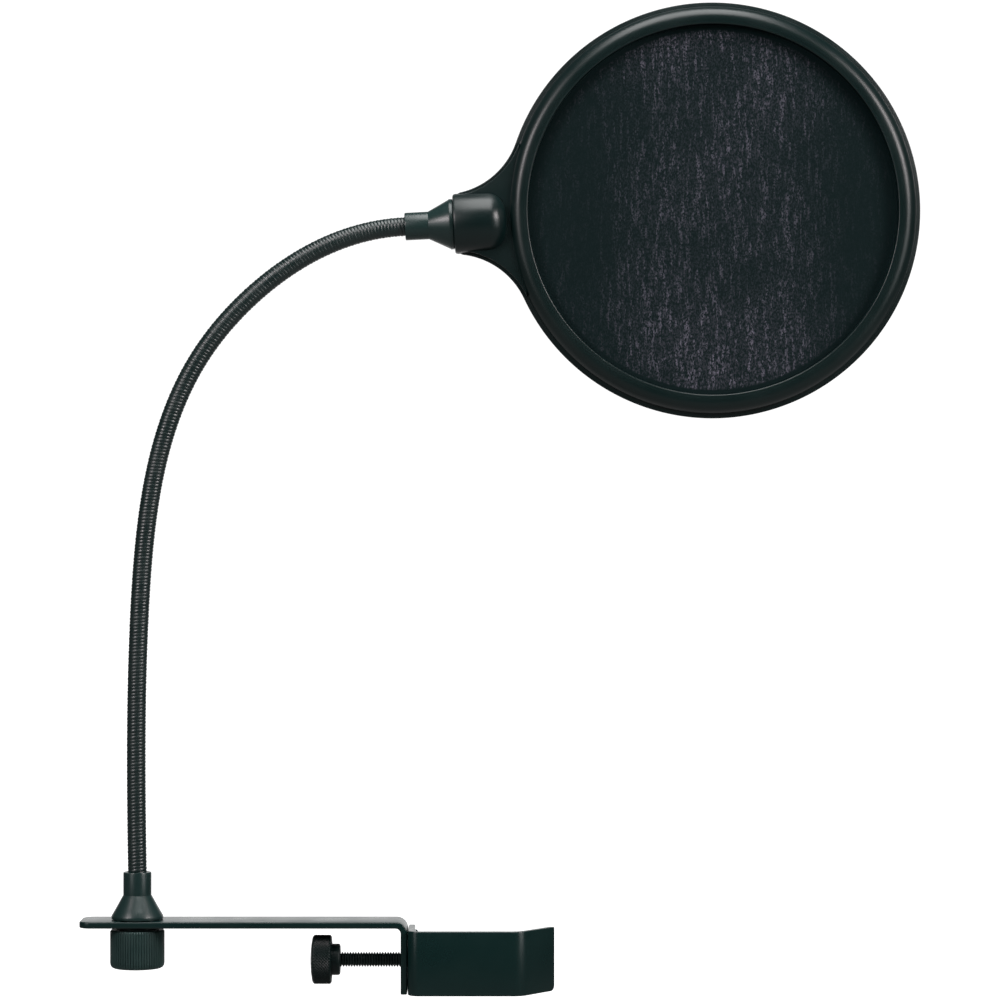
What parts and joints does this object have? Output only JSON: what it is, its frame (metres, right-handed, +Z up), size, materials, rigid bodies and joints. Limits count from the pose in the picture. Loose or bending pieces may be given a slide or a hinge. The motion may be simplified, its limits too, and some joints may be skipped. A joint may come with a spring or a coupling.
{
  "type": "pop filter",
  "caption": "Round double-mesh pop filter on a flexible gooseneck, with a flat arm, a bent strap clamp and a knurled clamping screw.",
  "frame": {"origin": "centre of the inner face of the clamp hook's front, against which the stand tube lies", "axes": "+X along the arm towards the hook's free end, +Y backwards out of the inner front face, +Z up"},
  "size_m": [0.3277, 0.0268, 0.3861],
  "materials": {
    "black_paint": "satin black paint",
    "neck_steel": "blackened ribbed steel",
    "spring_steel": "bare spring wire",
    "screw_steel": "black oxide",
    "knob_plastic": "matte",
    "hoop_plastic": "satin",
    "nylon_mesh": "woven nylon mesh",
    "brass": "turned",
    "zinc_steel": "zinc plated"
  },
  "bodies": {
    "bracket": {"arm_plate": "black_paint", "clamp_hook": "black_paint", "hook_rivet_1": "black_paint", "hook_rivet_2": "black_paint"},
    "pad": {"screw_pad": "knob_plastic"},
    "screw": {"clamp_screw": "screw_steel", "clamp_knob": "knob_plastic"},
    "washer": {"nut_washer": "screw_steel"},
    "nut": {"thumb_nut": "knob_plastic", "nut_insert": "brass"},
    "neck_1": {"lower_ferrule": "black_paint", "lower_nipple": "screw_steel", "neck_segment_1": "neck_steel", "neck_core_1": "spring_steel"},
    "neck_2": {"neck_segment_2": "neck_steel", "neck_core_2": "spring_steel"},
    "neck_3": {"neck_segment_3": "neck_steel", "neck_core_3": "spring_steel"},
    "neck_4": {"neck_segment_4": "neck_steel", "neck_core_4": "spring_steel"},
    "neck_5": {"neck_segment_5": "neck_steel", "neck_core_5": "spring_steel"},
    "neck_6": {"neck_segment_6": "neck_steel", "neck_core_6": "spring_steel"},
    "neck_7": {"neck_segment_7": "neck_steel", "neck_core_7": "spring_steel"},
    "neck_8": {"neck_segment_8": "neck_steel", "neck_core_8": "spring_steel"},
    "neck_9": {"neck_segment_9": "neck_steel", "neck_core_9": "spring_steel", "upper_ferrule": "black_paint", "upper_nipple": "screw_steel"},
    "hoop": {"hoop_front_shell": "hoop_plastic", "hoop_back_shell": "hoop_plastic", "mesh_front": "nylon_mesh", "mesh_back": "nylon_mesh", "spacer_ring": "hoop_plastic", "neck_screw_1": "zinc_steel", "neck_screw_2": "zinc_steel", "socket_nut": "brass"}
  },
  "joints": [
    {"name": "pad_advance", "type": "slide", "parent": "bracket", "child": "pad", "axis": [1, 0, 0], "range_m": [-0.0096, 0.0236]},
    {"name": "clamp_screw_turn", "type": "hinge", "parent": "pad", "child": "screw", "pos_m": [-0.0487, 0.0125, 0], "axis": [1, 0, 0], "range_deg": [-3420, 8460]},
    {"name": "washer_drop", "type": "slide", "parent": "bracket", "child": "washer", "axis": [0, 0, 1], "range_m": [-0.0101, 0]},
    {"name": "thumb_nut_turn", "type": "hinge", "parent": "washer", "child": "nut", "pos_m": [-0.128, 0.0125, 0.005], "axis": [0, 0, 1], "range_deg": [-2880, 0]},
    {"name": "neck_swivel", "type": "hinge", "parent": "bracket", "child": "neck_1", "pos_m": [-0.128, 0.0125, 0.0156], "axis": [0, 0, 1], "continuous": true},
    {"name": "neck_bend_1", "type": "hinge", "parent": "neck_1", "child": "neck_2", "pos_m": [-0.12842, 0.0125, 0.06792], "axis": [0, 1, 0], "range_deg": [-20, 10]},
    {"name": "neck_lean_1", "type": "hinge", "parent": "neck_2", "child": "neck_3", "pos_m": [-0.12826, 0.0125, 0.10164], "axis": [0.9999, 0, -0.016], "range_deg": [-20, 20]},
    {"name": "neck_bend_2", "type": "hinge", "parent": "neck_3", "child": "neck_4", "pos_m": [-0.12716, 0.0125, 0.13534], "axis": [0, 1, 0], "range_deg": [-20, 10]},
    {"name": "neck_lean_2", "type": "hinge", "parent": "neck_4", "child": "neck_5", "pos_m": [-0.12451, 0.0125, 0.16895], "axis": [0.9928, 0, -0.1201], "range_deg": [-20, 20]},
    {"name": "neck_bend_3", "type": "hinge", "parent": "neck_5", "child": "neck_6", "pos_m": [-0.11814, 0.0125, 0.20204], "axis": [0, 1, 0], "range_deg": [-20, 10]},
    {"name": "neck_lean_3", "type": "hinge", "parent": "neck_6", "child": "neck_7", "pos_m": [-0.10504, 0.0125, 0.233], "axis": [0.8555, 0, -0.5178], "range_deg": [-20, 20]},
    {"name": "neck_bend_4", "type": "hinge", "parent": "neck_7", "child": "neck_8", "pos_m": [-0.08366, 0.0125, 0.25893], "axis": [0, 1, 0], "range_deg": [-20, 10]},
    {"name": "neck_lean_4", "type": "hinge", "parent": "neck_8", "child": "neck_9", "pos_m": [-0.05596, 0.0125, 0.27794], "axis": [0.4255, 0, -0.905], "range_deg": [-20, 20]},
    {"name": "hoop_twist", "type": "hinge", "parent": "neck_9", "child": "hoop", "pos_m": [-0.02345, 0.0125, 0.28623], "axis": [0.9986, 0, 0.0523], "range_deg": [-90, 90]}
  ],
  "couplings": [
    {"joint": "pad_advance", "follows": "clamp_screw_turn", "m_per_rad": 0.00015915},
    {"joint": "washer_drop", "follows": "thumb_nut_turn", "m_per_rad": 0.00019894}
  ]
}
